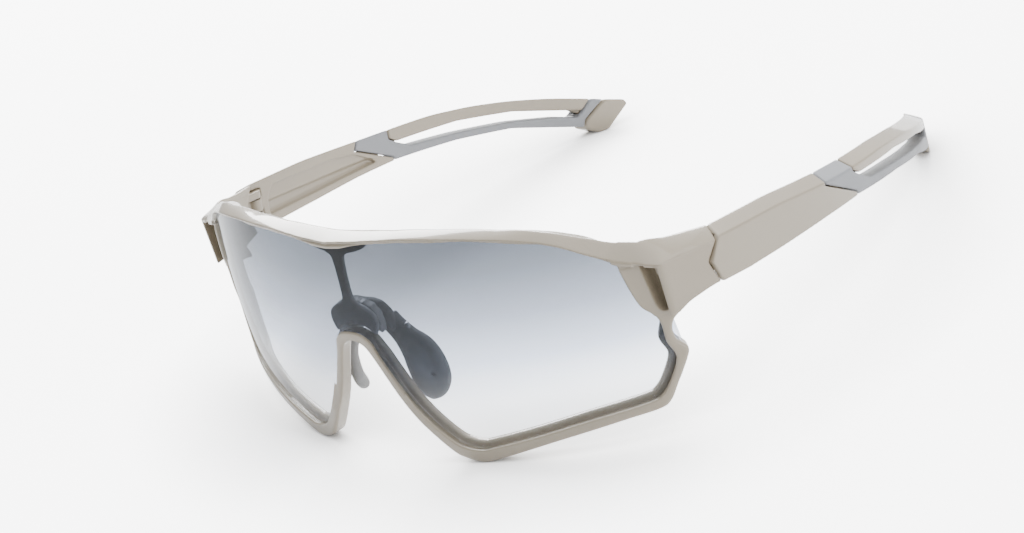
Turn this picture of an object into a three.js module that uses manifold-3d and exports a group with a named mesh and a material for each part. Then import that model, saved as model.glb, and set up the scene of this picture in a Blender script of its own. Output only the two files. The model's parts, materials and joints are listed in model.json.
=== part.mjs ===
// Wraparound sport sunglasses, standing open on a table: the two low points of the rim and the
// two temple tips touch z = 0. Millimetres, +Z up, -Y is the front, +X is the wearer's left.
import * as THREE from 'three';
import { mergeVertices } from 'three/addons/utils/BufferGeometryUtils.js';
import Module from 'manifold-3d';

const wasm = await Module();
wasm.setup();

// ---- Driving dimensions ---------------------------------------------------------------------
const FACE_RADIUS = 95;        // horizontal radius of the front of the frame
const FACE_HALF_HEIGHT = 150;  // vertical half axis of the same ellipsoid
const FACE_FRONT_Y = -4;       // foremost point of the frame's front
const FACE_LEVEL_Z = 17;       // height of that foremost point
const GAP = 0.3;               // play between touching pieces

const RIM_DEPTH = 4;           // front lip to rear lip
const LENS_SETBACK = 0.9;      // lens front behind the front lip
const LENS_THICKNESS = 1.2;
const LENS_SEAT = 0.7;         // how far the lens edge enters its groove
const FLANGE_WIDTH = 1.0;      // how far the rear lip reaches in behind the lens
const FLANGE_TOP_Z = 27;       // the rear lip stops below the nose bridge
const BROW_PROUD = 0.6;        // brow in front of the lip
const BROW_DEPTH = 5.6;
const VENT_REACH = 4;          // the pocket's cut starts this far in front of the face
const VENT_DEPTH = 2.8;        // blind pocket in the front of each endpiece
const BEFORE_FACE = -60;       // y where the cuts through the face start
const BEHIND_FACE = 60;        // y where they end

const HINGE = { x: 70.2, y: 41, z: 34.6 };
const HINGE_TILT = THREE.MathUtils.degToRad(11); // the pin leans back with the temple
const KNUCKLE_RADIUS = 1.9;
const KNUCKLE_HALF = 1.5;      // half height of the temple's middle knuckle
const FORK_END = 3.7;          // frame knuckles end this far from the middle
const FORK_PLAY = 0.5;         // free room around the knuckles
const SCREW_RADIUS = 0.6;
const SCREW_HEAD_RADIUS = 1.2;
const SCREW_HEAD_HEIGHT = 0.9;
const INSERT_RADIUS = 1.25;

const TEMPLE_THICKNESS = 4.2;
const WEB_THICKNESS = 1.5;     // core inside the rubber
const PANEL_DEPTH = 1.4;       // recess on the inner side of the arm

const PAD_THICKNESS = 3;
const PAD_WIRE_RADIUS = 0.55;
const TABLE_MIDDLE_Y = 74.55;  // middle of the whole object, front to back

// ---- Solids ---------------------------------------------------------------------------------
function solidOf(geometry) {
  const bare = geometry.clone();
  bare.deleteAttribute('normal');
  bare.deleteAttribute('uv');
  const merged = mergeVertices(bare, 1e-4);
  return new wasm.Manifold(new wasm.Mesh({
    numProp: 3,
    vertProperties: new Float32Array(merged.attributes.position.array),
    triVerts: new Uint32Array(merged.index.array),
  }));
}

function geometryOf(solid) {
  const mesh = solid.getMesh();
  const geometry = new THREE.BufferGeometry();
  geometry.setAttribute('position', new THREE.BufferAttribute(mesh.vertProperties, 3));
  geometry.setIndex(new THREE.BufferAttribute(mesh.triVerts, 1));
  geometry.computeVertexNormals();
  return geometry;
}

// Where an outline's two coordinates and the extrusion go, for each viewing direction.
const BASIS = {
  front: [[1, 0, 0], [0, 0, 1], [0, -1, 0]],
  side: [[0, 1, 0], [0, 0, 1], [1, 0, 0]],
  plan: [[1, 0, 0], [0, 1, 0], [0, 0, 1]],
};

function prism(outline, view, from, to) {
  const shape = new THREE.Shape(outline.map(([u, v]) => new THREE.Vector2(u, v)));
  const geometry = new THREE.ExtrudeGeometry(shape, { depth: to - from, bevelEnabled: false });
  const axes = BASIS[view].map((axis) => new THREE.Vector3(...axis));
  geometry.applyMatrix4(new THREE.Matrix4().makeBasis(...axes));
  geometry.translate(...axes[2].clone().multiplyScalar(view === 'front' ? -to : from).toArray());
  return solidOf(geometry);
}

// Solid inside the face ellipsoid shrunk by `inset`.
function faceSolid(inset) {
  const geometry = new THREE.SphereGeometry(1, 64, 28);
  geometry.rotateX(Math.PI / 2);
  geometry.scale(FACE_RADIUS - inset, FACE_RADIUS - inset, FACE_HALF_HEIGHT - inset);
  geometry.translate(0, FACE_FRONT_Y + FACE_RADIUS, FACE_LEVEL_Z);
  return solidOf(geometry);
}

function faceShell(front, back) {
  return faceSolid(front).subtract(faceSolid(back));
}

// Prism of a front-view outline drawn on the face. Its walls stand square to the face in plan, so
// they close in towards the face's upright axis.
function facePrism(outline) {
  const shape = new THREE.Shape(outline.map(([x, z]) => new THREE.Vector2(x, z)));
  const geometry = new THREE.ExtrudeGeometry(shape, { depth: 1, bevelEnabled: false });
  const axisY = FACE_FRONT_Y + FACE_RADIUS;
  const position = geometry.attributes.position;
  for (let i = 0; i < position.count; i += 1) {
    const x = position.getX(i);
    const z = position.getY(i);
    const level = (z - FACE_LEVEL_Z) / FACE_HALF_HEIGHT;
    const reach = FACE_RADIUS * Math.sqrt(1 - (x / FACE_RADIUS) ** 2 - level ** 2);
    const y = position.getZ(i) > 0.5 ? BEFORE_FACE : BEHIND_FACE;
    position.setXYZ(i, x * (axisY - y) / reach, y, z);
  }
  return solidOf(geometry);
}

// Rod between two points, round unless `sides` says otherwise.
function rod(start, end, radius, sides = 20) {
  const a = new THREE.Vector3(...start);
  const b = new THREE.Vector3(...end);
  const geometry = new THREE.CylinderGeometry(radius, radius, a.distanceTo(b), sides);
  const up = new THREE.Vector3(0, 1, 0);
  geometry.applyQuaternion(new THREE.Quaternion().setFromUnitVectors(up, b.clone().sub(a).normalize()));
  geometry.translate(...a.add(b).multiplyScalar(0.5).toArray());
  return solidOf(geometry);
}

// ---- Outlines -------------------------------------------------------------------------------
// A smooth stretch through a few points.
function smooth(points, steps) {
  const curve = new THREE.SplineCurve(points.map(([u, v]) => new THREE.Vector2(u, v)));
  return curve.getPoints(steps).map((p) => [p.x, p.y]);
}

// Closed outline from its right half, listed from the top middle to the bottom middle.
function mirrored(half) {
  const left = half.filter(([x]) => x > 0).reverse().map(([x, z]) => [-x, z]);
  return [...half, ...left];
}

// Outline moved outward by `distance`; its points run clockwise.
function grown(outline, distance) {
  const count = outline.length;
  return outline.map((point, i) => {
    const before = outline[(i + count - 1) % count];
    const after = outline[(i + 1) % count];
    const a = new THREE.Vector2(point[0] - before[0], point[1] - before[1]).normalize();
    const b = new THREE.Vector2(after[0] - point[0], after[1] - point[1]).normalize();
    const normal = new THREE.Vector2(-(a.y + b.y), a.x + b.x);
    const reach = distance / Math.max(0.6, Math.sqrt((1 + a.dot(b)) / 2));
    normal.setLength(reach);
    return [point[0] + normal.x, point[1] + normal.y];
  });
}

// Front view (x, z) of what shows through the front lip, right half.
const BROW_EDGE = smooth([[0, 52.7], [4, 52.9], [8, 53.8], [16, 54.3], [27, 54.1], [38, 52.9],
  [49, 50.4], [57, 45.2], [61.2, 41.8]], 22);
const NOSE_EDGE = smooth([[26, 3.3], [22.5, 4], [19, 6.4], [13, 14.4], [7.5, 26], [5.6, 30.8],
  [3, 32.8], [0, 33.2]], 20);
const OPENING = mirrored([...BROW_EDGE, [63.3, 32.2], [65.4, 28.6], [66, 26], [66.1, 21.8], [66.9, 18],
  [65, 12.8], [63, 9.9], [61, 8.9], [49.7, 7.7], [38, 5.6], ...NOSE_EDGE]);

// Outside of the lower rim with the nose arch, right half, up into the brow.
const NOSE_GAP = smooth([[24.6, 0], [21.4, 1], [17.8, 3.6], [10, 14.6], [4.4, 27], [2.4, 29.6],
  [0, 30.4]], 18);
const RIM_OUTSIDE = mirrored([[0, 54.5], [30, 54.5], [56, 46.5], [66, 41], [69.6, 40], [70.2, 28.6],
  [68.2, 26.6], [67.5, 24], [67.9, 21.4], [68.8, 18.4], [66.2, 12], [63.9, 7.8], [62.4, 6.6],
  [55.2, 5.8], [42.8, 3.8], [30, 0.9], [26.2, 0], ...NOSE_GAP]);

// Front view of the brow bar, right half: its top, then back inside the opening, which trims it.
const BROW_TOP = [[0, 55], [14, 55.8], [28, 55.6], [40, 54.5], [48, 52.8], [54, 50], [59.5, 46.8],
  [64, 44.8], [69, 43]];
const BROW = mirrored([...BROW_TOP, [69.6, 39.6], [60.4, 40], [48, 48.6], [28, 52], [0, 51]]);

// Plan (x, y) of the left endpiece, and its side view (y, z).
const ENDPIECE_PLAN = [[60.4, 19.6], [69.6, 23.2], [72.6, 27.5], [73.9, 33], [73.9, 42], [69.4, 42],
  [67.2, 36.4], [65.4, 31], [62.6, 26.4], [57.6, 23.6]];
const ENDPIECE_SIDE = [[18, 44.8], [26, 44.8], [31, 43], [41, 40.2], [38.1, 38.6], [35.6, 34.9],
  [37.1, 29.4], [31, 29.6], [26.4, 28.2], [18, 28.2]];
const VENT_POCKET = [[65, 38.8], [68, 38.4], [69, 31], [67.6, 29.6], [66.6, 30.4]];

// Side views (y, z) of one temple.
const ARM = [[41.7, 40.4], [60, 36.8], [79.2, 32], [77.3, 29.8], [88.8, 21.8], [89, 20.9],
  [76, 23], [60, 25.2], [46, 27.3], [37.6, 29.3], [36.1, 34.9], [38.5, 38.4]];
const ARM_PANEL = [[48, 36.8], [69, 32.2], [77.7, 29.2], [82, 24], [60, 27.4], [45, 30.4], [45.6, 33.8]];
const BEAM = [[90, 29.5], [104, 26.4], [116, 22.8], [126.5, 19], [136, 15], [145.2, 10.4],
  [142.8, 7.9], [126.8, 15.5], [111, 20.8], [91.8, 25.1], [89.6, 27]];
const TIP = [[148.3, 8.8], [152.2, 6.9], [152.7, 5.2], [147.4, 0], [145.2, 0], [142.6, 2.2], [143.2, 4.8]];
const GRIP = [[79.6, 32], [89.6, 29.7], [89.2, 27], [91.8, 24.8], [95.8, 21.8], [110, 17.9],
  [126, 12.9], [137.6, 8.4], [141.4, 6.4], [142.9, 7.7], [145.5, 10.2], [147.9, 8.9], [142.8, 5],
  [142.2, 2.3], [125.3, 10.4], [109.2, 15.6], [89.2, 20.9], [89, 21.9], [77.7, 29.8]];
const FRONT_WEB = [[72, 31.4], [80, 30.6], [90, 27.8], [95, 27.2], [95, 25.6], [88, 24], [72, 28]];
const REAR_WEB = [[140, 10.6], [143.4, 9.6], [149, 7], [147, 4], [142.6, 6.8], [140, 9.8]];

// ---- Hinge ----------------------------------------------------------------------------------
// Point on the left hinge's pin, `along` millimetres up it.
function onPin(along) {
  return [HINGE.x, HINGE.y + along * Math.sin(HINGE_TILT), HINGE.z + along * Math.cos(HINGE_TILT)];
}

function knuckle(from, to, radius) {
  return rod(onPin(from), onPin(to), radius, 18);
}

// Lug that carries a frame knuckle, from inside the endpiece back to the pin.
function lug(from, to, play) {
  const [, y1, z1] = onPin(from - play);
  const [, y2, z2] = onPin(to + play);
  const outline = [[33, z1], [y1, z1], [y2, z2], [33, z2]];
  return prism(outline, 'side', HINGE.x - KNUCKLE_RADIUS - play, HINGE.x + KNUCKLE_RADIUS + play);
}

const BELOW_HINGE = -20;         // start of the cuts that run out below the hinge
const PIN_BORE = knuckle(BELOW_HINGE, FORK_END - 2 * GAP, SCREW_RADIUS + GAP);
const MIDDLE_SPACE = knuckle(-KNUCKLE_HALF - GAP, KNUCKLE_HALF + GAP, KNUCKLE_RADIUS + FORK_PLAY);

// One endpiece with its two hinge knuckles, on the wearer's left.
function endpiece() {
  const body = prism(ENDPIECE_PLAN, 'plan', 20, 50).intersect(prism(ENDPIECE_SIDE, 'side', 50, 80));
  const fork = knuckle(-FORK_END, FORK_END, KNUCKLE_RADIUS)
    .add(lug(-FORK_END, -KNUCKLE_HALF - GAP, 0)).add(lug(KNUCKLE_HALF + GAP, FORK_END, 0));
  const seat = knuckle(KNUCKLE_HALF, FORK_END - GAP, INSERT_RADIUS + 0.8 * GAP);
  const headSpace = knuckle(BELOW_HINGE, -FORK_END + SCREW_HEAD_HEIGHT, SCREW_HEAD_RADIUS + GAP);
  return body.add(fork).subtract(MIDDLE_SPACE).subtract(PIN_BORE)
    .subtract(seat).subtract(headSpace);
}

function mirror(solid) {
  return solid.mirror([1, 0, 0]);
}

// ---- Front ----------------------------------------------------------------------------------
const LENS_BACK = LENS_SETBACK + LENS_THICKNESS;

// Everything inside a front-view outline, between two depths under the face surface.
function facePiece(outline, front, back) {
  return faceShell(front, back).intersect(facePrism(outline));
}

// Keeps the rear lip, which the lens rests against below the level of the nose bridge.
function rearLip() {
  const lowPart = [[-80, -1], [80, -1], [80, FLANGE_TOP_Z], [-80, FLANGE_TOP_Z]];
  return facePiece(lowPart, LENS_BACK + GAP, RIM_DEPTH + 1)
    .subtract(facePrism(grown(OPENING, -FLANGE_WIDTH)));
}

function frontFrame() {
  const rim = facePiece(RIM_OUTSIDE, 0, RIM_DEPTH);
  const brow = facePiece(BROW, -BROW_PROUD, BROW_DEPTH);
  const window = facePrism(OPENING).subtract(rearLip());
  const groove = facePiece(grown(OPENING, LENS_SEAT + GAP), LENS_SETBACK - GAP, LENS_BACK + GAP);
  const end = endpiece();
  const pocket = facePiece(VENT_POCKET, -VENT_REACH, VENT_DEPTH);
  return rim.add(brow).add(end).add(mirror(end)).subtract(window).subtract(groove)
    .subtract(pocket).subtract(mirror(pocket));
}

function shieldLens() {
  return facePiece(grown(OPENING, LENS_SEAT), LENS_SETBACK, LENS_BACK);
}

// ---- Nose ----------------------------------------------------------------------------------
const BRACKET_FRONT = LENS_BACK + GAP;
const BRACKET_BACK = BRACKET_FRONT + 1.3;
const BLOCK_BACK = BRACKET_BACK + 2.1;
const SADDLE_BACK = BLOCK_BACK + 2.6;

// Front views, right half: T-shaped head, stem and lobed plate; ribbed block; rubber saddle.
const BRACKET = mirrored([[0, 52.2], [4, 52.4], [8.6, 53.2], [9, 52.4], [5.2, 51.2], [1.9, 50.6],
  [1.2, 49], [1.4, 40.4], [3, 38.3], [5.1, 37.2], [6.6, 35.6], [6.7, 34], [6.2, 31.4], [5.3, 31.8],
  [3, 33.4], [0, 33.8]]);
const BLOCK = mirrored([[0, 38.4], [3, 38.2], [5, 37.2], [6.4, 35.4], [6.5, 33.4], [6.2, 31.4],
  [5.3, 31.8], [3, 33.4], [0, 33.8]]);
const SADDLE = mirrored([[0, 37.2], [3, 37.4], [5, 36.6], [6.2, 35], [6.2, 29], [5.6, 29.8],
  [4.6, 32], [0, 33.6]]);

// Nose pad, drawn flat: u across, v down its length from the root.
const PAD_OUTLINE = [...smooth([[-2.2, 0], [-3, -4], [-4.2, -10], [-4, -16], [-1.6, -20.4], [1.6, -20.8],
  [4, -17.4], [4.4, -11], [3.6, -5], [2.4, 0]], 22)];
const PAD_ROOT = [9.2, 5.6, 31.4];  // middle of the pad's upper end
const PAD_END = [11.6, 5.4, 12.2];  // middle of its lower end
const PAD_YAW = THREE.MathUtils.degToRad(36);

// Turn and place a flat outline as the left pad: v runs from PAD_ROOT to PAD_END.
function padPlacement() {
  const down = new THREE.Vector3(...PAD_END).sub(new THREE.Vector3(...PAD_ROOT)).normalize();
  const across = new THREE.Vector3(Math.cos(PAD_YAW), Math.sin(PAD_YAW), 0);
  const face = new THREE.Vector3().crossVectors(across, down.clone().negate()).normalize();
  across.crossVectors(down.clone().negate(), face);
  const matrix = new THREE.Matrix4().makeBasis(across, down.negate(), face);
  return matrix.setPosition(...PAD_ROOT);
}

function padSolid() {
  const shape = new THREE.Shape(PAD_OUTLINE.map(([u, v]) => new THREE.Vector2(u, v)));
  const geometry = new THREE.ExtrudeGeometry(shape, { depth: PAD_THICKNESS, bevelEnabled: false });
  geometry.translate(0, 0, -PAD_THICKNESS / 2);
  geometry.applyMatrix4(padPlacement());
  return solidOf(geometry);
}

// Rod down the pad's middle, from one depth to another.
function alongPad(from, to, radius) {
  const matrix = padPlacement();
  const at = (v) => new THREE.Vector3(0, -v, 0).applyMatrix4(matrix).toArray();
  return rod(at(from), at(to), radius, 12);
}

// ---- Temples --------------------------------------------------------------------------------
const TEMPLE_LINE = new THREE.SplineCurve([[71.6, 34], [72.3, 60], [72, 82], [69.4, 104], [63.6, 125],
  [54.6, 141.5], [44.6, 155]].map(([x, y]) => new THREE.Vector2(x, y)));

// Plan of a band that follows the temple, between two offsets from its middle line.
function band(inner, outer) {
  const steps = 26;
  const side = (offset) => Array.from({ length: steps + 1 }, (_, i) => {
    const point = TEMPLE_LINE.getPoint(i / steps);
    const along = TEMPLE_LINE.getTangent(i / steps);
    return [point.x + along.y * offset, point.y - along.x * offset];
  });
  return prism([...side(outer), ...side(inner).reverse()], 'plan', -10, 60);
}

const HALF_TEMPLE = TEMPLE_THICKNESS / 2;
const TEMPLE_BAND = band(-HALF_TEMPLE, HALF_TEMPLE);

function side(outline) {
  return prism(outline, 'side', 0, 90);
}

function web(extra) {
  const half = WEB_THICKNESS / 2 + extra;
  const outlines = side(FRONT_WEB).add(side(REAR_WEB));
  return band(-half, half).intersect(outlines);
}

function templeCore() {
  const panel = band(-HALF_TEMPLE - 2, -HALF_TEMPLE + PANEL_DEPTH).intersect(side(ARM_PANEL));
  const forkSpace = knuckle(-FORK_END - 4, -KNUCKLE_HALF, KNUCKLE_RADIUS + FORK_PLAY)
    .add(knuckle(KNUCKLE_HALF, FORK_END + GAP, KNUCKLE_RADIUS + FORK_PLAY))
    .add(lug(-FORK_END - 4, -KNUCKLE_HALF - GAP, GAP)).add(lug(KNUCKLE_HALF + GAP, FORK_END, GAP));
  const skin = TEMPLE_BAND.intersect(side(ARM).add(side(BEAM)).add(side(TIP)));
  return skin.subtract(panel).add(web(0)).subtract(forkSpace)
    .add(knuckle(-KNUCKLE_HALF, KNUCKLE_HALF, KNUCKLE_RADIUS)).subtract(PIN_BORE);
}

function templeGrip() {
  const neighbours = TEMPLE_BAND.intersect(side(ARM).add(side(BEAM)).add(side(TIP)));
  return TEMPLE_BAND.intersect(side(GRIP)).subtract(web(GAP)).subtract(neighbours);
}

// The screw goes in from below; its slotted head ends flush with the lower knuckle.
function hingeScrew() {
  const shank = knuckle(-FORK_END + GAP, FORK_END - 4 * GAP, SCREW_RADIUS);
  const head = knuckle(-FORK_END, -FORK_END + SCREW_HEAD_HEIGHT - GAP, SCREW_HEAD_RADIUS);
  const [, slotY, slotZ] = onPin(-FORK_END);
  const slot = rod([HINGE.x - 3, slotY, slotZ], [HINGE.x + 3, slotY, slotZ], 0.3, 4);
  return shank.add(head).subtract(slot);
}

function hingeInsert() {
  return knuckle(KNUCKLE_HALF + 2 * GAP, FORK_END - 2 * GAP, INSERT_RADIUS).subtract(PIN_BORE);
}

// ---- Materials ------------------------------------------------------------------------------
const standard = (color, roughness, metalness = 0) =>
  new THREE.MeshStandardMaterial({ color, roughness, metalness });
const sandPlastic = standard(0xb9b2a6, 0.28);
const lensTint = new THREE.MeshStandardMaterial({
  color: 0xa4abb8, roughness: 0.05, metalness: 0, transparent: true, opacity: 0.45,
});
const greyRubber = standard(0xa6a7ab, 0.6);
const darkPlastic = standard(0x55575c, 0.5);
const ribbedPlastic = standard(0x7a797d, 0.55);
const greySilicone = standard(0x6a6c70, 0.65);
const steel = standard(0xb8b8b8, 0.3, 1);
const brass = standard(0xb08d4a, 0.35, 1);

// ---- Assembly -------------------------------------------------------------------------------
const sunglasses = new THREE.Group();
const openOnTable = new THREE.Group();
openOnTable.position.set(0, -TABLE_MIDDLE_Y, 0);
sunglasses.add(openOnTable);

function place(name, solid, material) {
  const mesh = new THREE.Mesh(geometryOf(solid), material);
  mesh.name = name;
  openOnTable.add(mesh);
}

// A piece drawn on the wearer's left and its mirror image on the right.
function placePair(name, solid, material) {
  place(`left_${name}`, solid, material);
  place(`right_${name}`, mirror(solid), material);
}

place('front_frame', frontFrame(), sandPlastic);
place('shield_lens', shieldLens(), lensTint);
place('nose_bracket', facePiece(BRACKET, BRACKET_FRONT, BRACKET_BACK), darkPlastic);
place('bridge_block', facePiece(BLOCK, BRACKET_BACK + GAP, BLOCK_BACK), ribbedPlastic);
place('nose_saddle', facePiece(SADDLE, BLOCK_BACK + GAP, SADDLE_BACK), greySilicone);
placePair('nose_pad', padSolid().subtract(alongPad(-1, 18.5, PAD_WIRE_RADIUS + GAP)), greySilicone);
placePair('pad_wire', alongPad(0.4, 18, PAD_WIRE_RADIUS), steel);
placePair('temple_core', templeCore(), sandPlastic);
placePair('temple_grip', templeGrip(), greyRubber);
placePair('hinge_screw', hingeScrew(), steel);
placePair('hinge_insert', hingeInsert(), brass);

export default sunglasses;
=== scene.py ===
"""Wraparound sport sunglasses: the pieces that show, their finishes and the studio around them.

Lengths are millimetres in the frame's own drawing (x to the wearer's left, y back, z up from the
table) until `to_row` turns them into metres. Every moulded piece is a signed distance field on a
grid of samples, negative inside, and `surface` wraps a smooth mesh round it.
"""
import json
import math

import bpy
import numpy as np
from mathutils import Matrix, Vector


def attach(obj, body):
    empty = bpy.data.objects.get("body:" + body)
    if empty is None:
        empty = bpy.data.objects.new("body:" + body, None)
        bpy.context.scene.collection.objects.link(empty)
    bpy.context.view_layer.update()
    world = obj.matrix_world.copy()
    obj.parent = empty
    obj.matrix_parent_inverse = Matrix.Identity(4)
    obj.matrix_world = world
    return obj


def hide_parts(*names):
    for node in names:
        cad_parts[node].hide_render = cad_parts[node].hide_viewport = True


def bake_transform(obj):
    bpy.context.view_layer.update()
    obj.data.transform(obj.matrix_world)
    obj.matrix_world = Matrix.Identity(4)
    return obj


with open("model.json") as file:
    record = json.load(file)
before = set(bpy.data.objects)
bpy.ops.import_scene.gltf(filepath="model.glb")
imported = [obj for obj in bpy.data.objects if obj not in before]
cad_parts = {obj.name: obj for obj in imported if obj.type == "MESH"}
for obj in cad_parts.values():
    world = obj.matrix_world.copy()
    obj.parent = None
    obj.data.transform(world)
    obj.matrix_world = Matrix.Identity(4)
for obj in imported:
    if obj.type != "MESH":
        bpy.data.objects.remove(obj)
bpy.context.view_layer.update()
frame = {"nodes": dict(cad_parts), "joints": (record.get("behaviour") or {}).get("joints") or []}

# ---- Driving dimensions -------------------------------------------------------------------------
FACE_RADIUS = 95.0          # horizontal radius of the front of the frame
FACE_HALF_HEIGHT = 150.0    # vertical half axis of the same ellipsoid
FACE_CENTRE_Y = 91.0
FACE_LEVEL_Z = 17.0
RIM_DEPTH = 4.0
LIP_DEPTH = 0.65            # thickness of the front lip that laps over the lens
LIP_WIDTH = 0.7             # how far the lip reaches in past the rim's wall
LENS_FRONT, LENS_BACK = 0.9, 2.1        # depths of the lens under the face surface
FLANGE_WIDTH = 1.0          # inward reach of the flange behind the lens
FLANGE_PLAY = 0.25          # space between the lens and that flange
RING_TOP = 40.4             # the lower rim runs into the brow below this height
BROW_DEPTH = 5.8
CROWN = 0.2                 # how far the brow's upper facet bulges over a straight section
ENDPIECE_START_X = 60.5
PANEL_EDGE_X = 68.9         # the endpiece's recessed front panel ends here
VENT_DEPTH = 2.4

HINGE = np.array([70.2, 41.0, 34.6])
HINGE_TILT = math.radians(11)
KNUCKLE_RADIUS, KNUCKLE_HALF, FORK_END = 1.9, 1.5, 3.7
KNUCKLE_PLAY = 0.3
KNUCKLE_ROOM = 2.4          # radius of the room around a knuckle in the piece opposite
LUG_START_Y = 33.0
BORE_RADIUS, BORE_END = 0.9, 3.1
HEAD_RADIUS, HEAD_END = 1.5, -2.8       # countersink of the screw's head, open downwards
INSERT_RADIUS, INSERT_END = 1.49, 3.4   # seat of the brass insert
BELOW_HINGE = -20.0

HALF_TEMPLE = 2.1
PANEL_DEPTH, CHANNEL_DEPTH = 0.8, 1.5   # recesses in the inner face of the arm
UNDER_FORK = 4.0            # the arm stays open this far under the fork, where the screw goes in
HALF_WEB = 0.75             # the arm's web that runs through the rubber
GRIP_PLAY = 0.16            # between the rubber and the arm

# Depths of the nose bridge's three layers under the face, front and back.
BRACKET_LAYER, BLOCK_LAYER, SADDLE_LAYER = (2.4, 3.7), (3.85, 5.8), (5.95, 8.6)
RIB_DEPTH, RIB_COUNT, RIB_CENTRE_Z = 0.22, 9, 34.5
HALF_PAD = 1.45

FINE, FINEST = ((0.25, 0.16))   # distance between samples

hinge_joint = next(j for j in frame["joints"] if j["name"] == "left_temple_fold")
ROW_SHIFT_Y = 1000 * hinge_joint["pos_m"][1] - HINGE[1]


def to_row(points):
    return (np.asarray(points, float) + [0, ROW_SHIFT_Y, 0]) / 1000


# ---- Outlines -----------------------------------------------------------------------------------
def smooth(points, steps):
    """A curve through a few points."""
    p = np.array([points[0], *points, points[-1]], float)
    out = []
    for i in range(1, len(p) - 2):
        for t in np.linspace(0, 1, steps, endpoint=False):
            a = 2 * p[i] + (p[i + 1] - p[i - 1]) * t
            b = (2 * p[i - 1] - 5 * p[i] + 4 * p[i + 1] - p[i + 2]) * t ** 2
            c = (3 * p[i] - p[i - 1] - 3 * p[i + 1] + p[i + 2]) * t ** 3
            out.append(tuple((a + b + c) / 2))
    return out + [tuple(points[-1])]


def rounded(points, radius):
    """The closed outline with its corners rounded off."""
    p = np.array(points, float)
    out = []
    for before, here, after in zip(np.roll(p, 1, 0), p, np.roll(p, -1, 0)):
        ends = []
        for other in (before, after):
            length = np.linalg.norm(other - here)
            ends.append(here + (other - here) * min(radius, 0.48 * length) / max(length, 1e-9))
        for t in np.linspace(0, 1, 5):
            out.append(tuple((1 - t) ** 2 * ends[0] + 2 * t * (1 - t) * here + t ** 2 * ends[1]))
    return out


def mirrored(half):
    return [*half, *[(-x, z) for x, z in reversed(half) if x > 0]]


# Front view (x, z) of what shows through the front lip, right half.
BROW_EDGE = smooth([(0, 52.7), (4, 52.9), (8, 53.8), (16, 54.3), (27, 53.9), (38, 52.7), (49, 49.8),
                    (53, 47.7), (57, 44.8), (61.2, 41.8)], 4)
NOSE_EDGE = smooth([(26, 3.3), (22.5, 4), (19, 6.4), (13, 14.4), (7.5, 26), (5.6, 30.8), (3, 32.8),
                    (0, 33.2)], 5)
SIDE_EDGE = smooth([(61.2, 41.8), (63.3, 32.2), (65.2, 28.8), (66, 26), (66.1, 21.8), (66.9, 17.6),
                    (65, 12.8), (63, 9.9), (60.6, 8.9), (49.7, 7.7), (38, 5.6), (26, 3.3)], 5)
OPENING = mirrored([*BROW_EDGE, *SIDE_EDGE[1:-1], *NOSE_EDGE])

# Outside of the lower rim with the nose arch, right half.
NOSE_GAP = smooth([(24.6, 0), (21.4, 1), (17.8, 3.6), (10, 14.6), (4.4, 27), (2.4, 29.6),
                   (0, 30.4)], 5)
RIM_SIDE = smooth([(70.4, 30), (69.6, 27.9), (68.1, 26.2), (67.5, 24), (67.8, 21.4), (69.1, 18.9),
                   (68.4, 16.2), (66.2, 11.6), (64.2, 7.8), (62, 6.5), (55.2, 5.8), (42.8, 3.8),
                   (30, 0.9), (26.4, 0.1), (24.6, 0)], 5)
RIM_OUTSIDE = mirrored([(0, 60), (70.4, 60), *RIM_SIDE[:-1], *NOSE_GAP])

# Rails of the brow's upper facet and the endpiece, (x, y, z).
FACET_FRONT = [(0, -1.7, 54.5), (8, -1.15, 54.9), (16, 0, 55.35), (27, 2.6, 55.0), (38, 6.5, 53.6),
               (44, 9.2, 52.4), (49, 12, 50.6), (53, 14.3, 48.6), (57, 16.8, 45.5), (61.2, 19.5, 42.9),
               (65, 21.4, 41.6), (68.6, 23, 40.7), (70, 23.6, 40.4)]
RIDGE = [(71.2, 28.5, 39.9), (72.4, 33.3, 39.2), (73.5, 38.1, 38.5)]
FACET_REAR = [(0, 4.2, 54.9), (8, 4.5, 55.2), (16, 5.1, 55.45), (27, 7.4, 55.2), (40, 11.5, 53.9),
              (48, 15, 52.2), (52, 17.6, 50.3), (56, 20.4, 48.1), (59.5, 22.8, 46.2), (63.5, 25.6, 44.8),
              (65.5, 30.9, 43), (67.3, 36.4, 41.5), (69.2, 41.4, 40.3)]
VENT_POCKET = [(64.4, 42), (66.2, 42), (66.8, 38.4), (68.3, 30.2), (67.9, 29), (66.7, 29.1),
               (66, 30.4)]

# Side view (y, z) of the endpiece: its lower edge and the seam to the temple.
ENDPIECE_SIDE = [(15, 60), (15, 28.4), (25.1, 28.4), (28.2, 29.2), (33.5, 29.4), (37, 29.2),
                 (35.2, 34.8), (37, 36.9), (38.3, 38.3), (41.8, 40.5), (41.8, 60)]

# Side views (y, z) of one temple, and the plan of its middle line.
ARM = [(42.1, 41), (60, 37.2), (79.4, 32.4), (77.3, 29.8), (88.8, 21.9), (89, 20.9), (76, 23),
       (60, 25.2), (46, 27.3), (37.25, 29.1), (35.45, 34.8), (37.25, 36.75), (38.55, 38.15)]
ARM_PANEL = [(48.2, 36.4), (69, 31.9), (77.2, 29), (81.6, 25.4), (60, 29.8), (45.2, 32.9), (45.9, 34.6)]
ARM_CHANNEL = [(45.2, 33.4), (60, 30.2), (81.8, 25.6), (83.2, 23.6), (60, 27.3), (44.6, 30)]
BEAM = [(90, 30), (104, 27), (116, 23.4), (126.5, 19.6), (136, 15.6), (145.4, 10.6), (142.8, 7.9),
        (126.8, 15.5), (111, 20.8), (91.8, 25.1), (89.6, 27)]
TIP = [(148.3, 8.8), (152.2, 6.9), (152.7, 5.2), (147.4, 0), (145.2, 0), (142.6, 2.2), (143.2, 4.8)]
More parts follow.
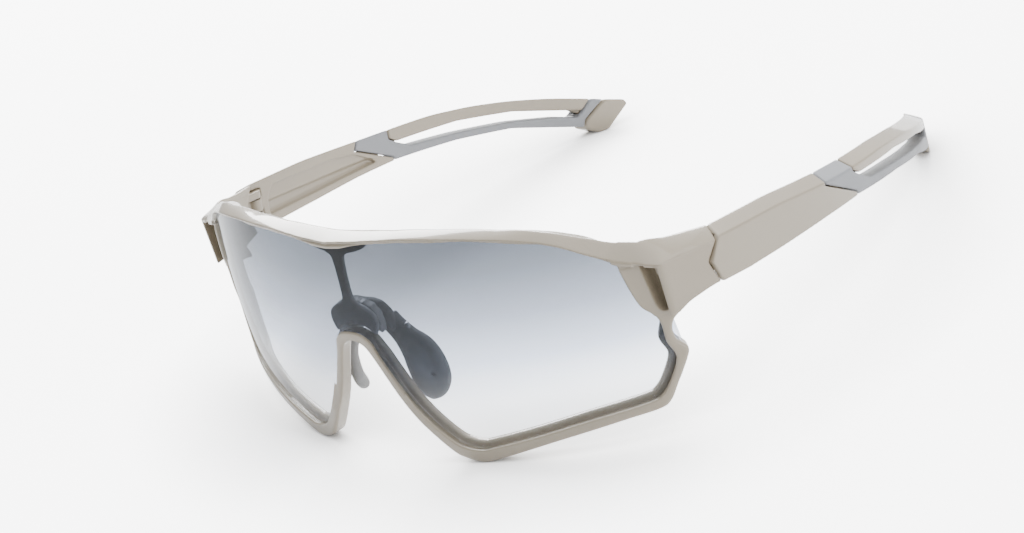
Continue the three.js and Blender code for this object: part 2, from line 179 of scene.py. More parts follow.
GRIP = [(79.8, 32.4), (89.7, 30), (89.3, 27), (91.7, 24.8), (95.8, 21.8), (110, 17.9), (126, 12.9),
        (137.6, 8.4), (141.4, 6.4), (142.9, 7.6), (145.6, 10.4), (147.9, 8.9), (142.8, 5), (142.2, 3.1),
        (125.3, 11.2), (109.2, 16.1), (89.3, 20.9), (89.1, 22), (77.8, 29.8)]
WEB_FRONT = [(72, 29.2), (80, 28.2), (88, 26.6), (93, 27.4), (96, 27), (95, 25.6), (88, 24), (72, 27)]
WEB_REAR = [(140, 10.6), (143.4, 9.6), (149, 7), (147, 4), (142.6, 6.8), (140, 9.8)]
TEMPLE_TOP = [(30, 43), (41.3, 40.4), (60, 36.8), (79.2, 32), (90, 29.5), (104, 26.4), (116, 22.8),
              (126.5, 19), (136, 15), (145.2, 10.4), (152.2, 6.9), (160, 3)]
TOP_DROP = [(30, 2.0), (85, 2.0), (104, 1.5), (150, 1.2)]   # how far the top face falls outwards, along y
TEMPLE_LINE = smooth([(71.6, 34), (72.3, 60), (72, 82), (69.4, 104), (63.6, 125), (54.6, 141.5),
                      (44.6, 155)], 12)

# Nose bridge, front views (x, z) of the right halves, and the pad drawn flat.
ARCH = [(x, z + 0.3) for x, z in NOSE_EDGE if x < 5.6]      # lower edge that follows the rim's arch
BRACKET = mirrored([(0, 52.4), *smooth([(4, 52.6), (8.2, 53.6), (9.4, 53.3), (8.4, 52), (5.6, 51),
                   (2.8, 50.3), (1.5, 48.6), (1.3, 41), (2, 39), (4.2, 37.8), (6.2, 36.4), (6.8, 34.6),
                   (6.5, 32.6), (5.8, 31.2)], 4), *ARCH])
BLOCK = mirrored([(0, 38.6), *smooth([(3, 38.4), (5, 37.4), (6.4, 35.6), (6.7, 33.4), (6.4, 31)], 4),
                  *ARCH])
SADDLE = mirrored([(0, 37.4), *smooth([(2.6, 37.5), (4.8, 36.9), (6.4, 35.6), (7.4, 34), (7.5, 31),
                  (6.6, 29.6), (5.6, 30.4), (4.2, 32.2), (2, 33.6)], 4), (0, 34)])

# The pad: its middle line (x, y, z) from the saddle down, then its half width and its turn in degrees,
# each against the length along it.
PAD_LINE = smooth([(4.6, 5.2, 32), (6.4, 5.2, 29.9), (8.6, 5.2, 27.2), (11.1, 5.2, 23.6), (12, 5.2, 19),
                   (11.5, 5.2, 14.6), (10, 5.2, 11.8)], 8)
PAD_WIDTH = [(0, 2.7), (3, 2.6), (6, 3), (10, 4.1), (14, 4.5), (17.5, 4.3), (20, 3.4), (22, 1.9),
             (23, 0)]
PAD_TURN = [(0, 12), (6, 22), (12, 34), (24, 38)]
PAD_HOLES = [(0.8, 15.8, 1), (-0.7, 15.6, -1), (1.0, 15.3, -1), (-0.3, 17.2, -1)]   # last: which face


# ---- Distance fields ----------------------------------------------------------------------------
class Block:
    """A box of evenly spaced samples."""

    def __init__(self, low, high, step):
        self.low, self.step = np.array(low, float), step
        counts = np.ceil((np.array(high) - self.low) / step).astype(int) + 1
        self.axes = [self.low[i] + step * np.arange(counts[i]) for i in range(3)]
        shapes = [(-1, 1, 1), (1, -1, 1), (1, 1, -1)]
        self.x, self.y, self.z = [a.astype(np.float32).reshape(s) for a, s in zip(self.axes, shapes)]

    def spread(self, flat, view):
        """A flat field as one that repeats along the viewing direction."""
        missing = {"front": 1, "side": 0, "plan": 2}[view]
        return np.expand_dims(flat.astype(np.float32), missing)

    def grid(self, view):
        pair = {"front": (0, 2), "side": (1, 2), "plan": (0, 1)}[view]
        return np.meshgrid(self.axes[pair[0]], self.axes[pair[1]], indexing="ij")

    def inside(self, outline, view):
        """Distance to a closed outline, negative inside it."""
        u, v = self.grid(view)
        best = np.full(u.shape, 1e9)
        within = np.zeros(u.shape, bool)
        for (ax, ay), (bx, by) in zip(outline, [*outline[1:], outline[0]]):
            ex, ey = bx - ax, by - ay
            t = np.clip(((u - ax) * ex + (v - ay) * ey) / max(ex * ex + ey * ey, 1e-12), 0, 1)
            best = np.minimum(best, (u - ax - t * ex) ** 2 + (v - ay - t * ey) ** 2)
            if ay != by:
                within ^= ((ay > v) != (by > v)) & (u < (bx - ax) * (v - ay) / (by - ay) + ax)
        return self.spread(np.where(within, -1, 1) * np.sqrt(best), view)

    def on_face(self, outline):
        """Distance to an outline drawn on the face; its walls stand square to the face in plan."""
        flat = self.inside(outline, "front")[:, 0, :]
        across = self.x * (FACE_RADIUS / (FACE_RADIUS - self.depth()))
        spot = np.clip((across - self.low[0]) / self.step, 0, len(self.axes[0]) - 1.001)
        left = spot.astype(np.int32)
        part, level = spot - left, np.arange(len(self.axes[2]))[None, None, :]
        return (flat[left, level] * (1 - part) + flat[left + 1, level] * part).astype(np.float32)

    def beside(self, line, view):
        """Distance to the right of an open line, negative on its left."""
        u, v = self.grid(view)
        best = np.full(u.shape, 1e9)
        side = np.zeros(u.shape)
        for (ax, ay), (bx, by) in zip(line, line[1:]):
            ex, ey = bx - ax, by - ay
            t = np.clip(((u - ax) * ex + (v - ay) * ey) / max(ex * ex + ey * ey, 1e-12), 0, 1)
            away = (u - ax - t * ex) ** 2 + (v - ay - t * ey) ** 2
            near = away < best
            best[near] = away[near]
            side[near] = ((u - ax) * ey - (v - ay) * ex)[near]
        return self.spread(np.sign(side) * np.sqrt(best), view)

    def depth(self):
        """Depth under the face surface."""
        across = np.sqrt(self.x ** 2 + (self.y - FACE_CENTRE_Y) ** 2)
        level = self.z - FACE_LEVEL_Z
        deep = np.float32(2)
        for _ in range(3):
            deep = FACE_RADIUS - across / np.sqrt(1 - (level / (FACE_HALF_HEIGHT - deep)) ** 2)
        return deep.astype(np.float32)

    def hinge(self, start, end, radius):
        """Round length of the left hinge, between two heights along its pin."""
        along, across = self.hinge_axes()
        ring = np.sqrt((self.x - HINGE[0]) ** 2 + across ** 2) - radius
        return np.maximum(ring, np.maximum(start - along, along - end))

    def hinge_axes(self):
        y, z = self.y - HINGE[1], self.z - HINGE[2]
        sine, cosine = math.sin(HINGE_TILT), math.cos(HINGE_TILT)
        return y * sine + z * cosine, y * cosine - z * sine

    def lug(self, start, end, play):
        """Arm that carries a knuckle back from the endpiece."""
        along, across = self.hinge_axes()
        box = np.maximum(np.abs(self.x - HINGE[0]) - KNUCKLE_RADIUS - play, LUG_START_Y - self.y)
        return np.maximum(np.maximum(box, across), np.maximum(start - play - along, along - end - play))


def both(a, b, blend=0.0):
    """Inside both fields, with the edge between them rounded."""
    joined = np.maximum(a, b)
    if blend:
        joined = joined + np.maximum(blend - np.abs(a - b), 0) ** 2 / (4 * blend)
    return joined


def either(a, b, blend=0.0):
    return -both(-a, -b, blend)


def ramp(values, start, end):
    """Smooth rise from 0 to 1."""
    t = np.clip((values - start) / (end - start), 0, 1)
    return t * t * (3 - 2 * t)


def rail(points, softness):
    """A softened line through (position, value) pairs, as a function of position."""
    spacing, half_face = 0.25, 90
    at = np.arange(-half_face, 175, spacing)
    spots, values = zip(*sorted(points))
    across_face = min(spots) >= 0 and max(spots) < half_face
    raw = np.interp(np.abs(at) if across_face else at, spots, values)
    reach = int(3 * softness / spacing)
    kernel = np.exp(-0.5 * (np.arange(-reach, reach + 1) * spacing / softness) ** 2)
    soft = np.convolve(np.pad(raw, reach, mode="edge"), kernel / kernel.sum(), mode="valid")
    return lambda place: np.interp(place, at, soft).astype(np.float32)


def height_over(points, u, v):
    """Thin plate close to (x, y, z) points and their mirror images, evaluated over a plan."""
    slack = 0.12
    p = np.array([*points, *[(-x, y, z) for x, y, z in points if x > 0]], float)

    def bend(squared):
        return squared * np.log(np.maximum(squared, 1e-9)) / 2

    gaps = ((p[:, None, :2] - p[None, :, :2]) ** 2).sum(2)
    n = len(p)
    plane = np.hstack([np.ones((n, 1)), p[:, :2]])
    system = np.zeros((n + 3, n + 3))
    system[:n, :n] = bend(gaps) + slack * np.eye(n)
    system[:n, n:], system[n:, :n] = plane, plane.T
    weights = np.linalg.solve(system, np.concatenate([p[:, 2], np.zeros(3)]))
    height = weights[n] + weights[n + 1] * u + weights[n + 2] * v
    for (x, y, _), weight in zip(p, weights):
        height = height + weight * bend((u - x) ** 2 + (v - y) ** 2)
    return height


# ---- From field to mesh -------------------------------------------------------------------------
CORNERS = [(i, j, k) for i in (0, 1) for j in (0, 1) for k in (0, 1)]


def probe(field, p):
    """Value and slope of the field between its samples."""
    base = np.clip(p.astype(int), 0, np.array(field.shape) - 2)
    t = p - base
    value, slope = np.zeros(len(p)), np.zeros((len(p), 3))
    for corner in CORNERS:
        sample = field[tuple((base + corner).T)]
        parts = [t[:, i] if corner[i] else 1 - t[:, i] for i in range(3)]
        value += sample * parts[0] * parts[1] * parts[2]
        for i in range(3):
            a, b = [parts[j] for j in range(3) if j != i]
            slope[:, i] += sample * a * b * (1 if corner[i] else -1)
    return value, slope


SMOOTHINGS, FITTINGS, LONGEST_FIT = 2, 2, 0.35


def surface(block, field, symmetric=False):
    """Points and quads of the field's zero surface. `symmetric` adds the other half of the body."""
    low = block.low.copy()
    if symmetric:
        field = np.concatenate([field[:0:-1], field])
        low[0] = -block.axes[0][-1]
    for axis in range(3):
        for edge in (0, -1):
            rim = [slice(None)] * 3
            rim[axis] = edge
            field[tuple(rim)] = np.maximum(field[tuple(rim)], 0.5 * block.step)
    inside = field < 0
    counts = sum(inside[i:inside.shape[0] - 1 + i, j:inside.shape[1] - 1 + j,
                        k:inside.shape[2] - 1 + k].astype(np.int8) for i, j, k in CORNERS)
    cells = np.argwhere((counts > 0) & (counts < 8))
    index = np.full(counts.shape, -1, np.int32)
    index[tuple(cells.T)] = np.arange(len(cells))
    total, hits = np.zeros(cells.shape), np.zeros(len(cells))
    unit = np.eye(3, dtype=int)
    quads = []
    for axis in range(3):
        b, c = unit[(axis + 1) % 3], unit[(axis + 2) % 3]
        for offset in (0 * b, b, c, b + c):
            start = cells + offset
            first, second = field[tuple(start.T)], field[tuple((start + unit[axis]).T)]
            crossing = (first < 0) != (second < 0)
            t = np.where(crossing, first / np.where(crossing, first - second, 1), 0)
            total += np.where(crossing[:, None], start + unit[axis] * t[:, None], 0)
            hits += crossing
        ahead = [slice(None)] * 3
        behind = [slice(None)] * 3
        behind[axis], ahead[axis] = slice(0, -1), slice(1, None)
        near, far = inside[tuple(behind)], inside[tuple(ahead)]
        spot = np.argwhere(near != far)
        quad = np.stack([index[tuple(s.T)] for s in (spot - b - c, spot - c, spot, spot - b)], 1)
        backward = ~near[tuple(spot.T)]
        quad[backward] = quad[backward][:, ::-1]
        quads.append(quad)
    points = total / hits[:, None]
    quads = np.concatenate(quads)
    ends = np.concatenate([quads[:, [i, (i + 1) % 4]] for i in range(4)])
    valence = np.bincount(ends[:, 0], minlength=len(points))
    for _ in range(SMOOTHINGS):
        sums = np.stack([np.bincount(ends[:, 0], points[ends[:, 1], i], len(points))
                         for i in range(3)], 1)
        points = 0.5 * points + 0.5 * sums / valence[:, None]
    for _ in range(FITTINGS):
        value, slope = probe(field, points)
        step = value[:, None] * slope / np.maximum((slope ** 2).sum(1), 1e-4)[:, None]
        points = points - np.clip(step, -LONGEST_FIT, LONGEST_FIT)
    return low + points * block.step, quads


def piece(name, points, quads, material, flipped=False):
    """Mesh object from a surface, on the other side of the face if `flipped`."""
    if flipped:
        points, quads = points * [-1, 1, 1], quads[:, ::-1]
    mesh = bpy.data.meshes.new(name)
    mesh.from_pydata(to_row(points).tolist(), [], quads.tolist())
    mesh.shade_smooth()
    mesh.materials.append(material)
    made = bpy.data.objects.new(name, mesh)
    bpy.context.scene.collection.objects.link(made)
    return made


def install(made, body, slot, *nodes):
    """The piece rides on a body, if one is given, and stands for CAD nodes, which are hidden; `slot` is
    not used.
    """
    if body:
        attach(made, body)
    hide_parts(*nodes)


# ---- Finishes -----------------------------------------------------------------------------------
class Finish:
    """A node material built up in code."""

    def __init__(self, name):
        self.material = bpy.data.materials.new(name)
        self.material.use_nodes = True
        self.tree = self.material.node_tree
        self.tree.nodes.clear()
        self.output = self.add("ShaderNodeOutputMaterial")
        self.place = self.add("ShaderNodeTexCoord").outputs["Object"]

    def add(self, kind, **inputs):
        node = self.tree.nodes.new(kind)
        for key, value in inputs.items():
            socket = node.inputs[key.replace("_", " ")]
            if isinstance(value, bpy.types.NodeSocket):
                self.tree.links.new(value, socket)
            else:
                socket.default_value = value
        return node

    def noise(self, scale, detail):
        return self.add("ShaderNodeTexNoise", Vector=self.place, Scale=scale, Detail=detail).outputs["Fac"]

    def between(self, factor, low, high):
        """Colours from low to high as the factor goes from 0.3 to 0.7."""
        ramp = self.add("ShaderNodeValToRGB", Fac=factor)
        for stop, at, colour in zip(ramp.color_ramp.elements, (0.3, 0.7), (low, high)):
            stop.position, stop.color = at, (*colour, 1)
        return ramp.outputs["Color"]

    def range(self, factor, low, high):
        """Values from low to high as the factor goes from 0.3 to 0.7."""
        node = self.add("ShaderNodeMapRange", Value=factor, From_Min=0.3, From_Max=0.7, To_Min=low,
                        To_Max=high)
        return node.outputs["Result"]

    def math(self, operation, *terms):
        node = self.add("ShaderNodeMath")
        node.operation = operation
        for socket, term in zip(node.inputs, terms):
            if isinstance(term, bpy.types.NodeSocket):
                self.tree.links.new(term, socket)
            else:
                socket.default_value = term
        return node.outputs[0]

    def bump(self, factor, distance, strength, under=None):
        node = self.add("ShaderNodeBump", Height=factor, Distance=distance, Strength=strength)
        if under is not None:
            self.tree.links.new(under, node.inputs["Normal"])
        return node.outputs["Normal"]


CLOUDS, HANDLING, WAVES = 28, 190, 70       # scales of the noises under every moulded finish
WAVE_HEIGHT = 0.00002


def moulded(name, colour, shade, roughness, grain, coat=0.0, coat_roughness=0.0, metallic=0.0,
            grain_scale=2600):
    """Moulded material: soft cloudy tint, fine surface grain, faint handling marks."""
    f = Finish(name)
    darker, lighter = [tuple(c * (1 + sign * shade) for c in colour) for sign in (-1, 1)]
    tint = f.between(f.noise(CLOUDS, 4), darker, lighter)
    rough = f.range(f.noise(HANDLING, 5), *roughness)
    waves = f.bump(f.noise(WAVES, 1), WAVE_HEIGHT, 0.5)
    normal = f.bump(f.noise(grain_scale, 2), grain, 1.0, waves)
    shader = f.add("ShaderNodeBsdfPrincipled", Base_Color=tint, Roughness=rough, Normal=normal,
                   Metallic=metallic, IOR=1.5)
    if coat:
        shader.inputs["Coat Weight"].default_value = coat
        shader.inputs["Coat Roughness"].default_value = coat_roughness
        f.tree.links.new(waves, shader.inputs["Coat Normal"])
    f.tree.links.new(shader.outputs["BSDF"], f.output.inputs["Surface"])
    return f.material


SAND = moulded("sand_plastic", (0.3, 0.252, 0.183), 0.02, (0.34, 0.42), 0.0000012, coat=1.0,
               coat_roughness=0.05)
RUBBER = moulded("grey_rubber", (0.25, 0.255, 0.27), 0.03, (0.42, 0.55), 0.000006, grain_scale=3200)
DARK = moulded("dark_plastic", (0.46, 0.46, 0.475), 0.05, (0.35, 0.45), 0.000004)
RIBBED = moulded("ribbed_plastic", (0.62, 0.61, 0.61), 0.04, (0.32, 0.42), 0.000003)
SILICONE = moulded("grey_silicone", (0.25, 0.248, 0.25), 0.04, (0.42, 0.55), 0.000005)
STEEL = moulded("steel", (0.62, 0.61, 0.6), 0.05, (0.2, 0.36), 0.000003, metallic=1.0)
BRASS = moulded("brass", (0.62, 0.45, 0.2), 0.06, (0.24, 0.4), 0.000003, metallic=1.0)


def lens_finish():
    """Clear plate tinted blue-grey at the top and fading to clear, with a thin mirror coat."""
    f = Finish("lens_tint")
    frame_height, drift = 0.056, 0.006
    level = f.add("ShaderNodeSeparateXYZ", Vector=f.place).outputs["Z"]
    height = f.math("MULTIPLY_ADD", level, 1 / frame_height, f.range(f.noise(12, 2), -drift, drift))
    ramp = f.add("ShaderNodeValToRGB", Fac=height)
    stops = ramp.color_ramp.elements
    tints = [(0.09, (0.94, 0.945, 0.95)), (0.27, (0.82, 0.835, 0.86)), (0.45, (0.53, 0.56, 0.615)),
             (0.64, (0.36, 0.382, 0.423)), (0.82, (0.256, 0.273, 0.299)), (0.93, (0.22, 0.234, 0.258))]
    for at, colour in tints[1:-1]:
        stops.new(at)
    for stop, (at, colour) in zip(stops, tints):
        stop.position, stop.color = at, (*colour, 1)
    clear = f.add("ShaderNodeBsdfTransparent", Color=ramp.outputs["Color"])
    shine = f.add("ShaderNodeBsdfGlossy", Roughness=f.range(f.noise(160, 4), 0.01, 0.05),
                  Color=(0.95, 0.97, 1, 1))
    straight_on, rise = 0.028, 0.9          # how much of the light is mirrored, and its gain at the edge
    glancing = f.add("ShaderNodeLayerWeight", Blend=0.5).outputs["Facing"]
    mirrored_share = f.math("MULTIPLY_ADD", f.math("POWER", glancing, 5.0), rise, straight_on)
    mix = f.add("ShaderNodeMixShader", Fac=mirrored_share)
    f.tree.links.new(clear.outputs[0], mix.inputs[1])
    f.tree.links.new(shine.outputs[0], mix.inputs[2])
    f.tree.links.new(mix.outputs[0], f.output.inputs["Surface"])
    return f.material


LENS = lens_finish()


# ---- Front frame --------------------------------------------------------------------------------
def front_frame():
    block = Block((0, -3, -1), (76, 46.5, 57), FINE)
    deep = block.depth()
    opening = block.on_face(OPENING)
    outside = block.on_face(RIM_OUTSIDE)
    lip_bottom = rail([*BROW_EDGE, (65, 40.7), (68.6, 40.0), (75, 39.8)], 0.6)(block.x)
    facet_front = rail([(x, z) for x, _, z in FACET_FRONT] + [(75, 40.2)], 1.0)(block.x)

    # Lower rim: outer wall, front lip, and the flange behind the lens, which tapers off upwards.
    wall = both(both(outside, LIP_WIDTH - opening), both(-deep, deep - RIM_DEPTH), 0.9)
    lip = both(both(outside, -deep, 0.9), both(-opening, deep - LIP_DEPTH, 0.2), 0.55)
    taper = 5
    flange_top = 31.5 - 5 * ramp(block.x, 15, 25)
    reach = FLANGE_WIDTH * (1 - ramp(block.z, flange_top - taper, flange_top))
    flange = both(both(-opening - reach, block.z - flange_top, 0.8),
                  both(LENS_BACK + FLANGE_PLAY - deep, deep - RIM_DEPTH, 0.5), 0.5)
    flange = both(flange, outside + 0.3)
    ring = both(either(either(wall, lip), flange), block.z - RING_TOP)

    # Upper facet over the brow and the endpiece.
    u, v = block.grid("plan")
    ahead = [(x, y) for x, y, _ in [*FACET_FRONT, *RIDGE]]
    front_edge = block.inside(rounded([(-9, -1.7), *ahead, (74, 42), (74, 90), (-9, 90)], 1.2), "plan")
    behind = [(x, y) for x, y, _ in reversed(FACET_REAR)]
    rear_edge = block.inside([(-9, -20), (90, -20), (90, 43), (69.9, 43), *behind, (-9, 4.2)], "plan")
    crossed = np.clip(front_edge / np.minimum(front_edge + rear_edge, -0.1), 0, 1)
    top = block.z - (block.spread(height_over([*FACET_FRONT, *RIDGE, *FACET_REAR], u, v), "plan")
                     + 4 * CROWN * crossed * (1 - crossed))
    past_lens = ramp(block.x, 50, 64)
    rear_slope, far_behind, crease = 1.3, 60, 0.32
    rear = both(rear_edge + rear_slope * (1 - past_lens) * np.minimum(top + 0.6, 0),
                deep - BROW_DEPTH - far_behind * past_lens)
    cap = both(both(top, front_edge, crease), rear, 0.9)
    under = facet_front - block.z
    line = 0.3 * ramp(under, 0.1, 0.4) * (1 - ramp(under, 0.6, 0.95))
    step_back = 0.34 * ramp(under, 0.1, 0.45) + line
    stepped = both(front_edge + step_back, top, crease)
    brow = both(both(both(stepped, rear, 0.9), lip_bottom - block.z, 0.5), -opening)

    # Endpiece: side facet, recessed front panel with its vent, hinge fork.
    side = block.inside(rounded(ENDPIECE_SIDE, 0.3), "side")
    panel = both(deep, both(block.x - PANEL_EDGE_X, block.z - lip_bottom))
    vent = both(block.inside(rounded(VENT_POCKET, 0.7), "front"), deep - VENT_DEPTH, 0.6)
    end = both(both(both(cap, side, 0.35), ENDPIECE_START_X - block.x), -opening)
    end = both(both(end, -panel, 0.3), -vent, 0.35)
    knuckle_end = KNUCKLE_HALF + KNUCKLE_PLAY
    fork = block.hinge(-FORK_END, FORK_END, KNUCKLE_RADIUS)
    for start, stop in ((-FORK_END, -knuckle_end), (knuckle_end, FORK_END)):
        fork = either(fork, block.lug(start, stop, 0))
    fork = both(fork, top + 0.7)
    bores = either(block.hinge(BELOW_HINGE, BORE_END, BORE_RADIUS),
                   block.hinge(-knuckle_end, knuckle_end, KNUCKLE_ROOM))
    bores = either(bores, either(block.hinge(KNUCKLE_HALF, INSERT_END, INSERT_RADIUS),
                                 block.hinge(BELOW_HINGE, HEAD_END, HEAD_RADIUS)))
    whole = either(either(brow, ring, 0.3), both(either(end, fork), -bores), 0.3)
    whole = both(whole, -both(both(vent, -deep - 0.2), block.z - lip_bottom), 0.2)
    return surface(block, whole, symmetric=True)


frame_piece = piece("front_frame_shell", *front_frame(), SAND)
install(frame_piece, "front", "sand_plastic", "front_frame")


# ---- Lens ---------------------------------------------------------------------------------------
def shield_lens():
    """Thin curved plate whose edge sits in the rim's groove."""
    def level(outline):
        places, heights = zip(*sorted(outline))
        return lambda x: np.interp(abs(x), places, heights)

    seat, widest = 0.6, 67.2
    upper = level([*[(x, z + seat) for x, z in BROW_EDGE], (64, 32.4), (66.4, 28.6), (67, 21),
                   (widest, 17.9)])
    lower = level([*[(x, z - seat) for x, z in NOSE_EDGE], (38, 5), (49.7, 7.1), (61, 8.3),
                   (63.8, 9.6), (65.8, 12.6), (widest, 17.3)])
    columns = np.linspace(-widest, widest, 269)
    rows = np.linspace(0, 1, 75)
    points, across = [], len(rows)
    for inset in (LENS_FRONT, LENS_BACK):
        for x in columns:
            z = lower(x) + (upper(x) - lower(x)) * rows
            radius, half = FACE_RADIUS - inset, FACE_HALF_HEIGHT - inset
            y = FACE_CENTRE_Y - radius * np.sqrt(1 - (x / radius) ** 2 - ((z - FACE_LEVEL_Z) / half) ** 2)
            points.extend(zip(np.full(across, x), y, z))
    n = len(columns) * across
    quads = []
    for i in range(len(columns) - 1):
        for j in range(across - 1):
            a = i * across + j
            quads.append((a, a + across, a + across + 1, a + 1))
            quads.append((n + a, n + a + 1, n + a + across + 1, n + a + across))
        for j, turn in ((0, False), (across - 1, True)):
            a = i * across + j
            wall = (a, n + a, n + a + across, a + across)
            quads.append(wall[::-1] if turn else wall)
    for i, turn in ((0, True), (len(columns) - 1, False)):
        for j in range(across - 1):
            a = i * across + j
            wall = (a, n + a, n + a + 1, a + 1)
            quads.append(wall[::-1] if turn else wall)
    return np.array(points), np.array(quads)


lens_piece = piece("shield_lens_plate", *shield_lens(), LENS)
install(lens_piece, "front", "lens_tint", "shield_lens")


# ---- Nose bridge --------------------------------------------------------------------------------
def bridge_part(outline, front, back, edge, ribs=0.0):
    block = Block((0, -3, 26), (13.5, 14, 55), FINEST)
    deep = block.depth()
    shape = block.inside(outline, "front")
    if ribs:
        turn = np.arctan2(block.x, block.z - RIB_CENTRE_Z)
        shape = shape + ribs * np.abs(np.sin(RIB_COUNT * turn)) * ramp(block.z, 32, RIB_CENTRE_Z)
    return surface(block, both(shape, both(front - deep, deep - back), edge), symmetric=True)


bracket = piece("nose_bracket_plate", *bridge_part(BRACKET, *BRACKET_LAYER, 0.6), DARK)
install(bracket, "front", "dark_plastic", "nose_bracket")
ribbed = piece("bridge_block_ribbed", *bridge_part(BLOCK, *BLOCK_LAYER, 0.4, RIB_DEPTH), RIBBED)
install(ribbed, "front", "ribbed_plastic", "bridge_block")
saddle = piece("nose_saddle_rubber", *bridge_part(SADDLE, *SADDLE_LAYER, 1.6), SILICONE)
install(saddle, "front", "grey_silicone", "nose_saddle")


def nose_pad():
    """Teardrop pad drawn flat (across, down its length, through), then bent along its middle line."""
    block = Block((-5.5, -1, -3), (5.5, 24.5, 3), FINEST)
    across, along, through = block.x, block.y, block.z
    places, halves = zip(*PAD_WIDTH)
    edge = smooth([(h, p) for p, h in zip(places, halves)], 4)
    shape = block.inside([*edge, *[(-h, p) for h, p in reversed(edge)]], "plan")
    pad = both(shape, np.abs(through) - HALF_PAD, 1.8)
    dish = ((across - 0.5) / 1.8) ** 2 + ((along - 12) / 4.6) ** 2 + ((through - 1.7) / 1.1) ** 2
    pad = both(pad, 1 - np.sqrt(dish), 0.7)
    hole_floor = 0.4
    for u, v, face in PAD_HOLES:
        hole = np.sqrt((across - u) ** 2 + (along - v) ** 2) - (0.45 if face > 0 else 0.33)
        pad = both(pad, -both(hole, hole_floor - face * through), 0.12)
    points, quads = surface(block, pad)

    line = np.array(PAD_LINE)
    lengths = np.concatenate([[0], np.cumsum(np.linalg.norm(np.diff(line, axis=0), axis=1))])
    down_line = np.gradient(line, lengths, axis=0)
    where = points[:, 1] * lengths[-1] / PAD_WIDTH[-1][0]
    middle, down = [np.stack([np.interp(where, lengths, part[:, i]) for i in range(3)], 1)
                    for part in (line, down_line)]
    down /= np.linalg.norm(down, axis=1)[:, None]
    turn = np.radians(np.interp(points[:, 1], *zip(*PAD_TURN)))
    sideways = np.stack([np.cos(turn), np.sin(turn), 0 * turn], 1)
    sideways -= (sideways * down).sum(1)[:, None] * down
    sideways /= np.linalg.norm(sideways, axis=1)[:, None]
    facing = np.cross(down, sideways)
    bent = middle + points[:, :1] * sideways + points[:, 2:] * facing
    return bent, quads


pad_points, pad_quads = nose_pad()
for side, flipped in (("left", False), ("right", True)):
    pad = piece(f"{side}_nose_pad_rubber", pad_points, pad_quads, SILICONE, flipped)
    install(pad, None, "grey_silicone", f"{side}_nose_pad")
    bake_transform(pad)


# ---- Temples ------------------------------------------------------------------------------------
def temple_fields():
    block = Block((40, 33, -1), (76.5, 158, 43), FINE)
    offset = block.beside(TEMPLE_LINE, "plan")
    top = block.spread(rail(TEMPLE_TOP, 2.0)(block.axes[1])[:, None] - block.axes[2][None, :], "side")
    drop = block.spread(rail(TOP_DROP, 4)(block.axes[1])[:, None] + 0 * block.axes[2][None, :], "side")
    slope = (drop * (offset + HALF_TEMPLE) / (2 * HALF_TEMPLE) - top) * 0.9
    slab = both(np.abs(offset) - HALF_TEMPLE, slope, 0.35)
    return block, offset, slab


def temple_parts():
    block, offset, slab = temple_fields()

    def part(outline, corner, edge):
        return both(slab, block.inside(rounded(outline, corner), "side"), edge)

    arm = part(ARM, 0.35, 0.35)
    inner_face = offset + HALF_TEMPLE
    panel = both(block.inside(rounded(ARM_PANEL, 0.8), "side"), inner_face - PANEL_DEPTH, 0.25)
    channel = both(block.inside(rounded(ARM_CHANNEL, 0.8), "side"), inner_face - CHANNEL_DEPTH, 1.2)
    arm = both(both(arm, -panel, 0.25), -channel, 0.3)
    room_bottom, room_top = -FORK_END - UNDER_FORK, FORK_END + 0.15
    fork = either(block.hinge(room_bottom, -KNUCKLE_HALF, KNUCKLE_ROOM),
                  block.hinge(KNUCKLE_HALF, room_top, KNUCKLE_ROOM))
    fork = either(fork, block.lug(room_bottom, -KNUCKLE_HALF - KNUCKLE_PLAY, KNUCKLE_PLAY))
    fork = either(fork, block.lug(KNUCKLE_HALF + KNUCKLE_PLAY, FORK_END - 0.1, KNUCKLE_PLAY))
    arm = either(both(arm, -fork), block.hinge(-KNUCKLE_HALF, KNUCKLE_HALF, KNUCKLE_RADIUS))
    arm = both(arm, -block.hinge(BELOW_HINGE, BORE_END, BORE_RADIUS))
    beam, tip = part(BEAM, 0.5, 0.6), part(TIP, 0.5, 0.6)
    web = both(np.abs(offset) - HALF_WEB,
               either(block.inside(WEB_FRONT, "side"), block.inside(WEB_REAR, "side")))
    core = either(either(arm, beam), either(tip, web))
    grip = part(GRIP, 0.4, 0.5)
    gap = GRIP_PLAY - either(either(part(ARM, 0.3, 0), part(BEAM, 0.3, 0)),
                             either(part(TIP, 0.3, 0), web))
    return surface(block, core), surface(block, both(grip, gap, 0.3))


core_mesh, grip_mesh = temple_parts()
for side, flipped in (("left", False), ("right", True)):
    core = piece(f"{side}_temple_arm", *core_mesh, SAND, flipped)
    install(core, f"{side}_temple", "sand_plastic", f"{side}_temple_core")
    grip = piece(f"{side}_temple_rubber", *grip_mesh, RUBBER, flipped)
    install(grip, f"{side}_temple", "grey_rubber", f"{side}_temple_grip")

for side in ("left", "right"):
    for node, finish in (("hinge_screw", STEEL), ("pad_wire", STEEL), ("hinge_insert", BRASS)):
        frame["nodes"][f"{side}_{node}"].material_slots[0].material = finish


# ---- Studio -------------------------------------------------------------------------------------
FLOOR_HALF = 3.0
FLOOR_GLOW = 5.2            # lifts the floor to near white for the camera only
PAINTED_SHADOW_REACH = 0.04        # how far from the object the floor's glow starts to fade, which paints a contact shadow
